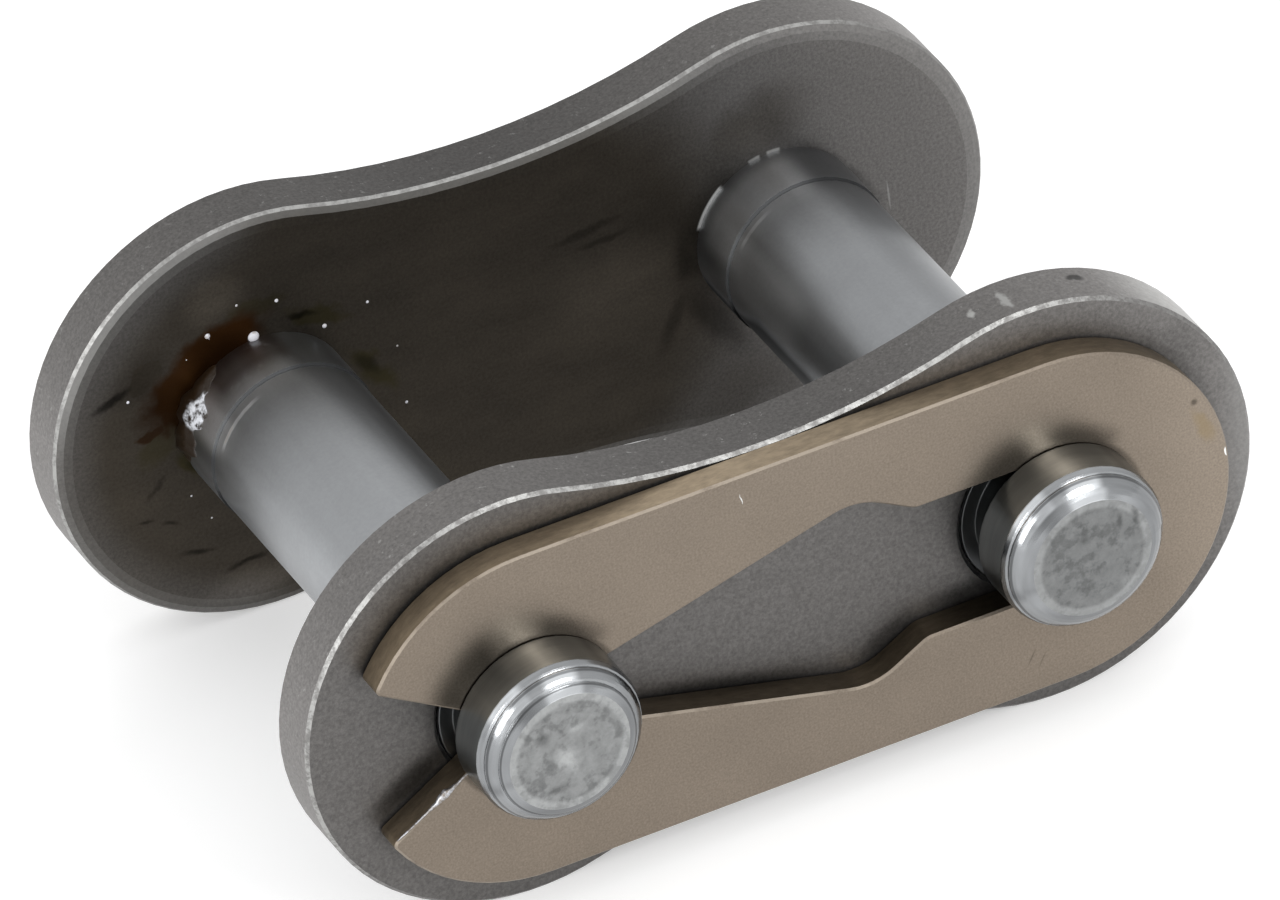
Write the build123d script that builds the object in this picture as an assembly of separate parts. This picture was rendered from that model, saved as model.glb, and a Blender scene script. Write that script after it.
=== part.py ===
from build123d import *
import math
import os

# Spring-clip connecting link of a roller chain of 12.7 mm pitch.
#
# Two pins are pressed into a back plate. A cover plate slips over their free ends, and a
# flat spring clip snaps into a groove near each end to keep the cover plate on.
#
# X runs along the pitch, Y along the pins with the clip on the -Y side, and Z upwards. The
# link stands on the round lobes of its plates, and the origin is under its middle.

# ---- driving sizes, in millimetres ----
pitch = 12.7                    # from one pin's axis to the other's
inner_width = 11.23             # between the inner faces of the two plates

plate_thickness = 1.42
plate_height = 10.3             # across a lobe
plate_hollow = 0.93             # how far either side of the waist is drawn in from the lobes
plate_edge_bevel = 0.08         # the plates are tumbled, which breaks their rims
rolled_rim_width = 0.42         # the back plate's inner face rolls over towards its rim
rolled_rim_depth = 0.15
rolled_rim_flats = 3            # steps that the roll's curve is made of
cover_hole_chamfer = 0.09

pin_diameter = 3.97
pin_collar_step = 0.045         # the pressed end is this much larger, on the radius
pin_collar_length = 1.4         # of that end, in front of the back plate
rivet_height = 0.5              # of the riveted end, behind the back plate
rivet_chamfer = 0.25
groove_depth = 0.335            # of the groove that holds the clip, on the radius
head_length = 1.0               # full-diameter part in front of the groove

nose_length = 0.54              # of the worn, polished end in front of the head
nose_inset = 0.54               # from the pin's side in to the rim of its flat face
nose_bulge = 0.09               # of the nose over a straight cone
nose_flats = 6                  # steps that the nose's curve is turned in
nose_groove_width = 0.08        # fine turning grooves round the nose
nose_groove_depth = 0.03
left_nose_grooves = [0.235, 0.665]      # their places, as shares of the way over the nose
right_nose_grooves = [0.235]

clip_thickness = 0.75
clip_leg_width = 2.48           # from a seat out to the clip's outer edge
clip_throat_bite = 0.94         # how far either lip of the open end reaches over a pin's neck
clip_mouth_angle = 31.5         # of each side of the open end, from the clip's centre line
clip_tongue_bite = 0.85         # how far either side of the slot reaches round the open end's seat
clip_gate_offset = 4.73         # from the closed end's pin axis back to the slot's widest part
clip_gate_ramp = 1.36           # length of the slope from the widest part to the narrow slot
clip_gate_round = 1.5
clip_ramp_round = 0.5
clip_tip_round = 0.16
clip_lip_round = 0.12
clip_edge_bevel = 0.05          # the clip's rims are only just broken

# ---- clearances ----
cover_slip = 0.035              # between a pin and its hole in the cover plate, on the radius
seat_slack = 0.07               # between a pin's neck and the clip's slot, on the radius
clip_side_play = 0.03           # in front of the clip and behind it
gate_clearance = 0.495          # between a pin's head and the slot's widest part, before it is rounded

# ---- sizes that follow from them ----
half_pitch = pitch / 2
lobe_radius = plate_height / 2
axis_height = lobe_radius
body_radius = pin_diameter / 2
collar_radius = body_radius + pin_collar_step
neck_radius = body_radius - groove_depth
cover_hole_radius = body_radius + cover_slip
seat_radius = neck_radius + seat_slack
clip_height = 2 * (seat_radius + clip_leg_width)
groove_width = clip_thickness + 2 * clip_side_play
nose_span = math.hypot(nose_inset, nose_length)

# stations along the pins, counted from the riveted ends towards the clip
back_plate_outside = rivet_height
back_plate_inside = back_plate_outside + plate_thickness
collar_end = back_plate_inside + pin_collar_length
cover_inside = back_plate_inside + inner_width
cover_outside = cover_inside + plate_thickness
clip_back = cover_outside + clip_side_play
groove_end = cover_outside + groove_width
head_end = groove_end + head_length
pin_length = head_end + nose_length

tolerance = 1e-4                # for telling one edge or corner from another by its place


def section_plane(station, x=0.0):
    """Plane across the pins at a station, facing the clip side."""
    return Plane(origin=(x, pin_length / 2 - station, axis_height), x_dir=(1, 0, 0), z_dir=(0, -1, 0))


def plate_outline(inset=0.0):
    """A round lobe about each pin, joined by hollow waist arcs tangent to both, all drawn in by an inset."""
    waist = lobe_radius - plate_hollow
    arc_radius = (half_pitch**2 + waist**2 - lobe_radius**2) / (2 * plate_hollow)
    share = (lobe_radius - inset) / (lobe_radius + arc_radius)
    touch_x = half_pitch * (1 - share)
    touch_y = (waist + arc_radius) * share
    waist_y = waist - inset
    end_x = half_pitch + lobe_radius - inset
    edge = (
        ThreePointArc((-touch_x, touch_y), (0, waist_y), (touch_x, touch_y))
        + ThreePointArc((touch_x, touch_y), (end_x, 0), (touch_x, -touch_y))
        + ThreePointArc((touch_x, -touch_y), (0, -waist_y), (-touch_x, -touch_y))
        + ThreePointArc((-touch_x, -touch_y), (-end_x, 0), (-touch_x, touch_y))
    )
    return make_face(edge)


def at_pins(shape):
    """A flat shape repeated on both pin axes, in the plane of a plate or of the clip."""
    return Sketch() + Locations((-half_pitch, 0), (half_pitch, 0)) * shape


def bevelled_rim():
    """Inset and depth of a broken rim's points, from the plate's wall to its face."""
    return [(0, plate_edge_bevel), (plate_edge_bevel, 0)]


def rolled_rim():
    """Inset and depth of a rolled rim's points, from the plate's wall to its face."""
    turns = [math.pi / 2 * step / rolled_rim_flats for step in range(rolled_rim_flats + 1)]
    return [(rolled_rim_width * (1 - math.cos(turn)), rolled_rim_depth * (1 - math.sin(turn)))
            for turn in turns]


def plate(station, hole_radius, front_rim, hole_chamfer=0.0):
    """A plate whose back face is at a station, with a broken rim there and another round its front."""
    profile = bevelled_rim()[::-1]
    profile += [(inset, plate_thickness - depth) for inset, depth in front_rim]
    blank = loft([Plane.XY.offset(height) * plate_outline(inset) for inset, height in profile], ruled=True)
    blank -= extrude(at_pins(Circle(hole_radius)), plate_thickness)
    if hole_chamfer:
        mouths = blank.edges().filter_by(GeomType.CIRCLE)
        mouths = [edge for edge in mouths if abs(edge.radius - hole_radius) < tolerance]
        blank = chamfer(mouths, hole_chamfer)
    return section_plane(station) * blank


def nose_point(share, depth=0.0):
    """Radius and station of a point a share of the way over a pin's nose, sunk by a depth."""
    rise = 4 * nose_bulge * share * (1 - share) - depth
    inset = nose_inset * share - rise * nose_length / nose_span
    advance = nose_length * share + rise * nose_inset / nose_span
    return body_radius - inset, head_end + advance


def nose(grooves):
    """Profile of a pin's nose, from its side to its flat face, with fine grooves turned in it."""
    half_groove = nose_groove_width / nose_span / 2
    steps = [step / nose_flats for step in range(nose_flats + 1)]
    points = {share: nose_point(share) for share in steps
              if all(abs(share - groove) > half_groove for groove in grooves)}
    for groove in grooves:
        points[groove - half_groove] = nose_point(groove - half_groove)
        points[groove] = nose_point(groove, nose_groove_depth)
        points[groove + half_groove] = nose_point(groove + half_groove)
    return [points[share] for share in sorted(points)]


def pin(x, nose_grooves):
    """A pin turned about its axis: riveted end, pressed collar, body, clip groove, head and nose."""
    profile = [
        (0, 0),
        (collar_radius - rivet_chamfer, 0),
        (collar_radius, rivet_chamfer),
        (collar_radius, collar_end),
        (body_radius, collar_end + pin_collar_step),
        (body_radius, cover_outside),
        (neck_radius, cover_outside),
        (neck_radius, groove_end),
        (body_radius, groove_end),
    ]
    profile += nose(nose_grooves)
    profile.append((0, pin_length))
    half_section = make_face(Plane.XZ * Polyline(profile, close=True))
    return section_plane(0, x) * revolve(half_section, Axis.Z)


def clip_slot():
    """The keyhole slot, with a seat for each neck and an opening that a pin's head passes through."""
    seats = at_pins(Circle(seat_radius))

    tongue = neck_radius - clip_tongue_bite
    tongue_x = -half_pitch + math.sqrt(seat_radius**2 - tongue**2)
    gate = body_radius + gate_clearance
    gate_x = half_pitch - clip_gate_offset
    upper = [(-half_pitch, 0), (tongue_x, tongue), (gate_x, gate),
             (gate_x + clip_gate_ramp, seat_radius), (half_pitch, seat_radius)]
    lower = [(x, -y) for x, y in reversed(upper[1:])]
    gateway = make_face(Polyline(upper + lower, close=True))
    gateway = fillet(slot_corners(gateway, gate_x, gate), clip_gate_round)
    gateway = fillet(slot_corners(gateway, gate_x + clip_gate_ramp, seat_radius), clip_ramp_round)

    throat = neck_radius - clip_throat_bite
    throat_x = -half_pitch - math.sqrt(seat_radius**2 - throat**2)
    outside_x = -half_pitch - clip_height
    flare = throat + (throat_x - outside_x) * math.tan(math.radians(clip_mouth_angle))
    mouth = make_face(Polyline(
        [(-half_pitch, throat), (throat_x, throat), (outside_x, flare),
         (outside_x, -flare), (throat_x, -throat), (-half_pitch, -throat)], close=True))
    return seats + gateway + mouth


def slot_corners(face, x, y):
    """The two corners of a face at x, one on each side of the centre line."""
    return [corner for corner in face.vertices()
            if math.hypot(corner.X - x, abs(corner.Y) - y) < tolerance]


def spring_clip():
    """A flat clip round both necks: closed at the right, open at the left between two sprung legs."""
    blank = extrude(SlotCenterToCenter(pitch, clip_height) - clip_slot(), clip_thickness)
    blank = fillet(leg_corners(blank, clip_height / 2), clip_tip_round)
    blank = fillet(leg_corners(blank, seat_radius), clip_lip_round)
    rims = blank.edges().group_by(Axis.Z)
    blank = chamfer(rims[0] + rims[-1], clip_edge_bevel)
    return section_plane(clip_back) * blank


def leg_corners(blank, radius):
    """The clip's sharp upright edges at a distance from the left pin's axis."""
    corners = []
    for edge in blank.edges().filter_by(Axis.Z):
        x, y = edge.center().X + half_pitch, edge.center().Y
        if abs(math.hypot(x, y) - radius) < tolerance and abs(x) > tolerance:
            corners.append(edge)
    return corners


nodes = {
    "back_plate": plate(back_plate_outside, collar_radius, rolled_rim()),
    "left_pin": pin(-half_pitch, left_nose_grooves),
    "right_pin": pin(half_pitch, right_nose_grooves),
    "cover_plate": plate(cover_inside, cover_hole_radius, bevelled_rim(), cover_hole_chamfer),
    "spring_clip": spring_clip(),
}

os.makedirs("parts", exist_ok=True)
for name, solid in nodes.items():
    export_step(solid, f"parts/{name}.step")
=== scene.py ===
"""Finishes, grease, burr and studio for a spring-clip connecting link of a roller chain."""

import functools
import math
from typing import NamedTuple

import bmesh
import bpy
from mathutils import Matrix, Vector


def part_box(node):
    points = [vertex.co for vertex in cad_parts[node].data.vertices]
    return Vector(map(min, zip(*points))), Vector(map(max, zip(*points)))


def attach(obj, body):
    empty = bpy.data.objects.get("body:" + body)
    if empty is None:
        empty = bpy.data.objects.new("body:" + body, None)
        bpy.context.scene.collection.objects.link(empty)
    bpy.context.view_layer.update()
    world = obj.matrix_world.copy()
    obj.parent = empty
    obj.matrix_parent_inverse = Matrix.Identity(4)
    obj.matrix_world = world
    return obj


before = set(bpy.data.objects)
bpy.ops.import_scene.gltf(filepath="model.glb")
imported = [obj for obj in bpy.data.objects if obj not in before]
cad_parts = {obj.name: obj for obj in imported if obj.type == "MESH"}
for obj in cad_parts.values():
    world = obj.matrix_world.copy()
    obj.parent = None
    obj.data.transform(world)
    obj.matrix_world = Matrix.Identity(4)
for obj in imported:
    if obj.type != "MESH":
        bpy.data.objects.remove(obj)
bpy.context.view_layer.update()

bl_info = {
    "name": "Chain Connecting Link",
    "version": (1, 0, 0),
    "blender": (4, 5, 0),
    "location": "3D View > Sidebar > Link",
    "description": "Steel finishes, grease, burr and studio for a chain connecting link",
    "category": "Object",
}

MM = 0.001

# A Mix node's sockets for colours, which share their names with its sockets for numbers.
MIX_FIRST, MIX_SECOND, MIX_COLOUR = 6, 7, 2


# ---------------------------------------------------------------- places read from the frame, in mm


def low(node):
    """A node's lowest corner at rest."""
    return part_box(node)[0] / MM


def high(node):
    """A node's highest corner at rest."""
    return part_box(node)[1] / MM


BACK_INSIDE = low("back_plate").y
COVER_OUTSIDE = low("cover_plate").y
CLIP_OUTSIDE = low("spring_clip").y
FLAT_END = low("left_pin").y
RIVET_END = high("left_pin").y
LEFT_AXIS = (low("left_pin").x + high("left_pin").x) / 2
RIGHT_AXIS = (low("right_pin").x + high("right_pin").x) / 2
AXIS_HEIGHT = (low("left_pin").z + high("left_pin").z) / 2
PIN_BASE_RADIUS = (high("left_pin").x - low("left_pin").x) / 2
CLIP_ROUND = (high("spring_clip").z - low("spring_clip").z) / 2
COLLAR_LENGTH = 1.4
COLLAR_END = BACK_INSIDE - COLLAR_LENGTH
NOSE_LENGTH = 0.54
NOSE_START = FLAT_END + NOSE_LENGTH


# ---------------------------------------------------------------- node kit


class Value:
    """A socket in a node tree. Python's operators on it add Math nodes."""

    def __init__(self, tree, socket):
        self.tree = tree
        self.socket = socket

    def maths(self, operation, first, second=0.0):
        return self.tree.node("ShaderNodeMath", {"operation": operation}, {0: first, 1: second})

    def __add__(self, other):
        return self.maths("ADD", self, other)

    def __radd__(self, other):
        return self.maths("ADD", other, self)

    def __sub__(self, other):
        return self.maths("SUBTRACT", self, other)

    def __rsub__(self, other):
        return self.maths("SUBTRACT", other, self)

    def __mul__(self, other):
        return self.maths("MULTIPLY", self, other)

    def __rmul__(self, other):
        return self.maths("MULTIPLY", other, self)

    def __pow__(self, other):
        return self.maths("POWER", self, other)

    def __lt__(self, other):
        return self.maths("LESS_THAN", self, other)

    def __abs__(self):
        return self.maths("ABSOLUTE", self)

    def most(self, other):
        return self.maths("MAXIMUM", self, other)

    def rise(self, start, end):
        """0 before start, 1 past end and smooth between; end may be the lower one."""
        return self.tree.node(
            "ShaderNodeMapRange",
            {"interpolation_type": "SMOOTHSTEP"},
            {"Value": self, "From Min": start, "From Max": end},
        )

    def band(self, start, end, soft):
        """1 from start to end, fading to 0 over soft on either side."""
        return self.rise(start - soft, start) * self.rise(end + soft, end)


class Tree:
    """A node tree that is built from Python expressions."""

    def __init__(self, tree):
        self.tree = tree
        self.tree.nodes.clear()

    def node(self, kind, settings, values, output=0):
        """Adds one node: its settings first, then the value or link of each socket."""
        made = self.tree.nodes.new(kind)
        for key, value in settings.items():
            setattr(made, key, value)
        for key, value in values.items():
            socket = made.inputs[key]
            if isinstance(value, Value):
                self.tree.links.new(value.socket, socket)
            elif socket.is_multi_input:
                for one in value:
                    self.tree.links.new(one.socket, socket)
            elif socket.type == "RGBA" and len(value) == 3:
                socket.default_value = (*value, 1.0)
            else:
                socket.default_value = value
        if len(made.outputs) == 0:
            return None
        return Value(self, made.outputs[output])

    def outputs(self, value):
        """Every output of the node that a value comes from."""
        return [Value(self, output) for output in value.socket.node.outputs]


class Finish(Tree):
    """A material whose patterns are worked out in millimetres from the link's own frame."""

    def __init__(self, name):
        self.material = bpy.data.materials.new(name)
        self.material.use_nodes = True
        super().__init__(self.material.node_tree)
        _, normal, _, place = self.outputs(self.node("ShaderNodeTexCoord", {}, {}))[:4]
        millimetres = {0: place, "Scale": 1 / MM}
        self.point = self.node("ShaderNodeVectorMath", {"operation": "SCALE"}, millimetres)
        self.x, self.y, self.z = self.parts(self.point)
        self.facing_y = self.parts(normal)[1]

    def parts(self, vector):
        """X, Y and Z of a vector."""
        return self.outputs(self.node("ShaderNodeSeparateXYZ", {}, {0: vector}))

    def walls(self):
        """1 on faces that run along the pins, such as a plate's rim and the sides of the slot."""
        return abs(self.facing_y).rise(0.45, 0.25)

    def front(self):
        """1 on flat faces that look towards the clip side."""
        return self.facing_y.rise(-0.9, -0.97)

    def forward(self):
        """1 on every face that leans towards the clip side."""
        return self.facing_y.rise(0.0, -0.2)

    def from_axis(self, axis_x):
        """Distance from a pin's axis, and degrees about it: 0 right, 90 up, 180 left, 270 down."""
        across, up = self.x - axis_x, self.z - AXIS_HEIGHT
        distance = (across * across + up * up) ** 0.5
        turn = up.maths("ARCTAN2", 0.0 - across, up) * math.degrees(1) + 90.0
        return distance, turn

    def from_clip(self):
        """Distance in the plane of the clip from its outer edge: above 0 outside."""
        across = (abs(self.x) - RIGHT_AXIS).most(0.0)
        up = self.z - AXIS_HEIGHT
        return (across * across + up * up) ** 0.5 - CLIP_ROUND

    def spot(self, centre, half, turn=0.0, soft=0.5, point=None):
        """1 inside an ellipsoid, fading to 0 at its surface over the share soft; turned in XZ."""
        place = self.node(
            "ShaderNodeMapping",
            {"vector_type": "TEXTURE"},
            {
                "Vector": point or self.point,
                "Location": centre,
                "Rotation": (0.0, -math.radians(turn), 0.0),
                "Scale": half,
            },
        )
        away = self.node("ShaderNodeVectorMath", {"operation": "LENGTH"}, {0: place}, "Value")
        return away.rise(1.0, 1.0 - soft)

    def marks(self, station, marks, point=None, soft=0.8):
        """The strongest of many spots at one station, each given as a row of a mark table."""
        total = None
        for x, z, long, wide, turn, strength in marks:
            mark = self.spot((x, station, z), (long, MARK_DEPTH, wide), turn, soft, point)
            mark = mark * strength
            total = mark if total is None else total.most(mark)
        return total

    def lumps(self, shift, scale, detail, roughness, output=0):
        """Noise nodes on the point, shifted and scaled."""
        place = self.node(
            "ShaderNodeMapping",
            {"vector_type": "POINT"},
            {"Vector": self.point, "Location": shift, "Scale": scale},
        )
        return self.node(
            "ShaderNodeTexNoise",
            {"noise_dimensions": "3D"},
            {"Vector": place, "Scale": 1.0, "Detail": detail, "Roughness": roughness},
            output,
        )

    def noise(self, scale, detail=2.0, roughness=0.5, stretch=(1.0, 1.0, 1.0), seed=0.0):
        """A noise from 0 to 1, with scale lumps to the millimetre, drawn out along X, Y and Z."""
        shift = (seed, seed * 0.7, -seed)
        return self.lumps(shift, [scale / drawn for drawn in stretch], detail, roughness)

    def wandering(self, scale, amount, seed=0.0):
        """The point pushed about by a noise, so that an outline drawn from it is uneven."""
        push = self.lumps((seed, seed, seed), (scale, scale, scale), 3.0, 0.5, "Color")
        middle = {0: push, 1: (0.5, 0.5, 0.5)}
        centred = self.node("ShaderNodeVectorMath", {"operation": "SUBTRACT"}, middle)
        sized = self.scaled(centred, amount)
        return self.node("ShaderNodeVectorMath", {"operation": "ADD"}, {0: self.point, 1: sized})

    def mix(self, first, second, share):
        """One colour over another by a share from 0 to 1."""
        return self.node(
            "ShaderNodeMix",
            {"data_type": "RGBA", "blend_type": "MIX"},
            {"Factor": share, MIX_FIRST: first, MIX_SECOND: second},
            MIX_COLOUR,
        )

    def scaled(self, colour, by):
        """A colour or a vector times a number."""
        return self.node("ShaderNodeVectorMath", {"operation": "SCALE"}, {0: colour, "Scale": by})

    def done(self, colour, roughness, height, depth, metallic=1.0, soften=0.0):
        """Joins the patterns to a shader; soften rounds the light on sharp corners."""
        bump = {"Height": height, "Distance": depth * MM, "Strength": 1.0}
        if soften:
            bump["Normal"] = self.node("ShaderNodeBevel", {"samples": 8}, {"Radius": soften * MM})
        values = {
            "Base Color": colour,
            "Metallic": metallic,
            "Roughness": roughness,
            "Normal": self.node("ShaderNodeBump", {}, bump),
        }
        shader = self.node("ShaderNodeBsdfPrincipled", {}, values)
        self.node("ShaderNodeOutputMaterial", {}, {"Surface": shader})
        return self.material


def dress(node, material):
    """Gives a CAD piece its finish."""
    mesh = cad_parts[node].data
    mesh.materials.clear()
    mesh.materials.append(material)


def add_object(name, data):
    """Links a new object to the scene."""
    made = bpy.data.objects.new(name, data)
    bpy.context.scene.collection.objects.link(made)
    return made


# ---------------------------------------------------------------- sizes and colours


def colour(name, description, default):
    return bpy.props.FloatVectorProperty(
        name=name, description=description, default=default, subtype="COLOR", size=3,
        min=0.0, max=1.0,
    )


def share(name, description, default):
    return bpy.props.FloatProperty(
        name=name, description=description, default=default, subtype="FACTOR", min=0.0, max=1.0
    )


def length(name, description, default):
    return bpy.props.FloatProperty(
        name=name, description=description, default=default, subtype="DISTANCE", unit="LENGTH",
        precision=6,
    )


def angle(name, description, degrees):
    return bpy.props.FloatProperty(
        name=name, description=description, default=math.radians(degrees), subtype="ANGLE",
        unit="ROTATION",
    )


class LinkPlates(bpy.types.PropertyGroup):
    """Finish of the two waisted plates."""

    steel: colour("Steel", "Tumbled and hardened plate steel", (0.15, 0.144, 0.14))
    # Worn steel of rubbed rims; also the colour that paints highlights on the rolled rim, the
    # pressed arcs and the lit right end of the cover.
    worn_and_lit: colour("Worn steel", "Steel where the rims are rubbed bright", (0.41, 0.41, 0.4))
    # Also paints shade: the dark layer over the inner face's middle and left is partly this oil and
    # partly painted shade.
    oil: colour("Old oil", "Film of old oil on the back plate's inner face", (0.048, 0.04, 0.03))
    stain: colour("Stain", "Brown stain round the left pin's base", (0.042, 0.0175, 0.005))
    olive: colour("Olive stain", "Older stain at the edges of the brown one", (0.05, 0.043, 0.017))
    gloss: share("Roughness", "Roughness of the plates' faces", 0.46)


class LinkPins(bpy.types.PropertyGroup):
    """Finish of the two pins."""

    steel: colour("Ground steel", "Ground barrels of the pins", (0.34, 0.35, 0.362))
    head: colour("Head", "Sides of the heads, in front of the clip", (0.185, 0.195, 0.195))
    nose: colour("Nose", "Polished noses", (0.3, 0.31, 0.32))
    end: colour("End", "Dented flat ends", (0.215, 0.22, 0.22))
    gloss: share("Roughness", "Roughness of the ground barrels", 0.34)


class LinkClip(bpy.types.PropertyGroup):
    """Finish of the spring clip."""

    steel: colour("Steel", "Tempered spring steel", (0.27, 0.226, 0.182))
    wall: colour("Wall", "Clip's cut side walls", (0.125, 0.1, 0.07))
    edge: colour("Rubbed edge", "Steel along the clip's broken edges", (0.36, 0.315, 0.26))
    smear: colour("Smear", "Brown smear near the closed end", (0.25, 0.19, 0.11))
    nick: colour("Nicks", "Bright nicks in the clip's face", (0.85, 0.86, 0.85))
    gloss: share("Roughness", "Roughness of the clip's face", 0.26)


class LinkBurr(bpy.types.PropertyGroup):
    """Bright sliver on the clip's open end."""

    steel: colour("Steel", "Torn bright steel", (0.6, 0.61, 0.64))
    dull: colour("Dull steel", "Steel between the torn places", (0.3, 0.27, 0.24))
    width: length("Width", "Across the flake at its widest", 0.00017)
    height: length("Height", "Of the flake above the clip's face", 0.00008)


class LinkGrease(bpy.types.PropertyGroup):
    """Grease left round the left pin's root."""

    oil: colour("Wet oil", "Dark oil of the wet bead", (0.015, 0.008, 0.003))
    # Painted highlight: this pale colour paints glare on the wet bead.
    white: colour("Dried grease", "Pale grease on the bead", (0.66, 0.68, 0.72))
    drop: colour("Drop", "Pale lumps of the drops", (0.62, 0.62, 0.66))
    drop_dull: colour("Dull drop", "Drops between the pale lumps", (0.4, 0.38, 0.37))
    bead_width: length("Bead width", "On the back plate", 0.00024)
    bead_height: length("Bead height", "Up the pin", 0.00075)
    patch: length("Patch radius", "Of the disc round the left pin that has small drops", 3.9 * MM)
    clear: length("Clear radius", "Of the disc inside the patch that has none", 2.3 * MM)
    smallest: length("Smallest drop", "Radius of the smallest of the small drops", 0.01 * MM)
    largest: length("Largest drop", "Radius of the largest of the small drops", 0.026 * MM)
    dust: bpy.props.FloatProperty(
        name="Drops", description="Small drops on each square metre of the patch", default=2.5e5
    )
    seed: bpy.props.IntProperty(name="Seed", description="Places of the small drops", default=4)


class LinkStudio(bpy.types.PropertyGroup):
    """Camera, floor and lights."""

    azimuth: angle("Azimuth", "Camera's turn round the link", -23.15)
    elevation: angle("Elevation", "Camera's height above the floor", 35.29)
    roll: angle("Roll", "Camera's turn about its own line of sight", -6.1817)
    distance: length("Distance", "Camera to the point it is aimed at", 0.4087)
    aim: bpy.props.FloatVectorProperty(
        name="Aim", description="Point that the camera looks at", subtype="TRANSLATION", size=3,
        precision=6, default=(-0.000183, 0.000411, 0.005333),
    )
    lens: bpy.props.FloatProperty(
        name="Lens", description="Focal length on a 36 mm sensor, in millimetres", default=525.3
    )
    floor_half: length("Floor half width", "Half the floor's side", 4.0)
    paper: colour("Paper", "Floor's own colour", (0.82, 0.82, 0.82))
    glow: share("Paper glow", "Light that the floor gives off as seen and in reflections", 0.3)
    room: share("Room light", "Light that the room throws on matt surfaces", 0.75)


# ---------------------------------------------------------------- marks, painted shadows and painted light on the steel, in mm

# A row is x, z, half length, half width, turn from X in degrees, and strength.
MARK_DEPTH, DENT_DEPTH = 0.6, 0.4

# Dark pools on the inner face: old oil, with painted shade.
OIL_AND_SHADE_POOLS = (
    (4.4, 1.3, 3.0, 2.4, 0.0, 0.55),
    (5.5, 7.8, 2.5, 1.4, 20.0, 0.65),
    (-9.1, 7.2, 1.2, 0.8, 30.0, 1.25),
    (3.7, 6.7, 1.9, 1.2, 35.0, 0.8),
)
# Paler patches on the inner face.
PALER_PATCHES = (
    (-7.3, 8.6, 1.1, 0.8, 20.0, 0.6),
    (2.2, 5.2, 2.4, 1.6, 10.0, 0.25),
    (-7.0, 0.9, 1.6, 0.6, 0.0, 0.5),
)
BROWN_STAIN = (
    (-7.75, 6.85, 2.2, 0.85, 31.0, 1.0),
    (-8.3, 6.0, 0.9, 0.75, 0.0, 0.95),
    (-9.2, 5.7, 0.45, 0.25, 0.0, 0.85),
)
OLIVE_STAIN = (
    (-8.15, 4.5, 0.8, 0.35, -45.0, 0.75),
    (-3.75, 5.3, 1.1, 0.4, -52.0, 0.75),
    (-4.9, 7.2, 1.1, 0.3, -25.0, 0.75),
    (-9.0, 5.3, 0.8, 0.5, 30.0, 0.5),
    (-6.4, 8.0, 1.0, 0.35, 5.0, 0.5),
)
# Dark smears on the inner face, and painted shadows of the right pin beside and below its root.
SMEARS_AND_SHADOWS = (
    (3.95, 5.2, 0.3, 0.9, 0.0, 0.35),
    (3.65, 3.75, 1.25, 0.33, 59.0, 0.4),
    (4.6, 3.4, 1.9, 0.6, -58.0, 0.5),
    (1.75, 6.85, 1.2, 0.16, 8.0, 0.4),
    (2.1, 6.5, 0.9, 0.14, 2.0, 0.4),
    (7.9, 5.95, 2.0, 0.5, -52.0, 0.6),
    (-9.95, 6.88, 0.75, 0.17, 22.0, 0.75),
    (-5.3, 7.38, 0.55, 0.12, -12.0, 0.7),
    (-3.85, 5.5, 0.6, 0.2, -50.0, 0.45),
    (-8.19, 4.4, 0.4, 0.2, -50.0, 0.3),
    (-9.16, 4.2, 0.5, 0.12, 40.0, 0.4),
    (-9.5, 3.44, 0.3, 0.08, -10.0, 0.5),
    (-8.93, 3.19, 0.32, 0.09, -20.0, 0.5),
    (-8.37, 2.2, 0.6, 0.12, -12.0, 0.6),
    (-7.22, 1.46, 0.75, 0.12, 2.0, 0.65),
)
# Grime and painted contact shadow on the cover beside the clip's slot and mouth.
SLOT_GRIME_AND_SHADOW = (
    (-9.15, 4.05, 1.6, 0.5, 31.0, 1.1),
    (-1.6, 3.45, 3.5, 0.5, -14.5, 1.1),
    (2.4, 3.2, 1.1, 0.5, 29.0, 0.7),
    (4.5, 3.6, 1.7, 0.5, 0.0, 0.8),
    (-8.6, 6.35, 0.8, 0.25, -31.0, 0.5),
)
RIM_CHIPS = (
    (5.4, 10.45, 0.16, 0.3, 0.0, 1.0),
    (6.2, 10.5, 0.2, 0.3, 0.0, 0.8),
    (9.9, 8.5, 0.12, 0.3, 0.0, 0.7),
)
CLIP_SMEAR = ((10.0, 6.3, 0.75, 0.25, 113.0, 1.0),)
CLIP_SCRATCHES = (
    (9.82, 6.98, 0.12, 0.12, 0.0, 0.55),
    (5.4, 1.9, 0.35, 0.03, 60.0, 0.35),
    (5.65, 1.75, 0.3, 0.03, 60.0, 0.3),
)
CLIP_NICKS = (
    (10.5, 5.4, 0.2, 0.1, 95.0, 1.0),
    (-1.08, 8.75, 0.28, 0.03, 95.0, 0.5),
)
LEFT_DENTS = (
    (-6.4, 5.0, 0.35, 0.55, 20.0, -1.0),
    (-6.1, 5.7, 0.3, 0.2, 0.0, -0.6),
    (-6.95, 5.7, 0.3, 0.2, 30.0, 0.6),
    (-6.7, 4.3, 0.35, 0.2, 0.0, 0.5),
)
RIGHT_DENTS = (
    (7.06, 5.87, 0.12, 0.3, 0.0, 0.9),
    (7.43, 5.86, 0.12, 0.3, 0.0, 0.8),
    (6.2, 5.7, 0.3, 0.2, 0.0, 0.5),
    (7.15, 4.2, 0.3, 0.4, 0.0, -0.3),
)


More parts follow.
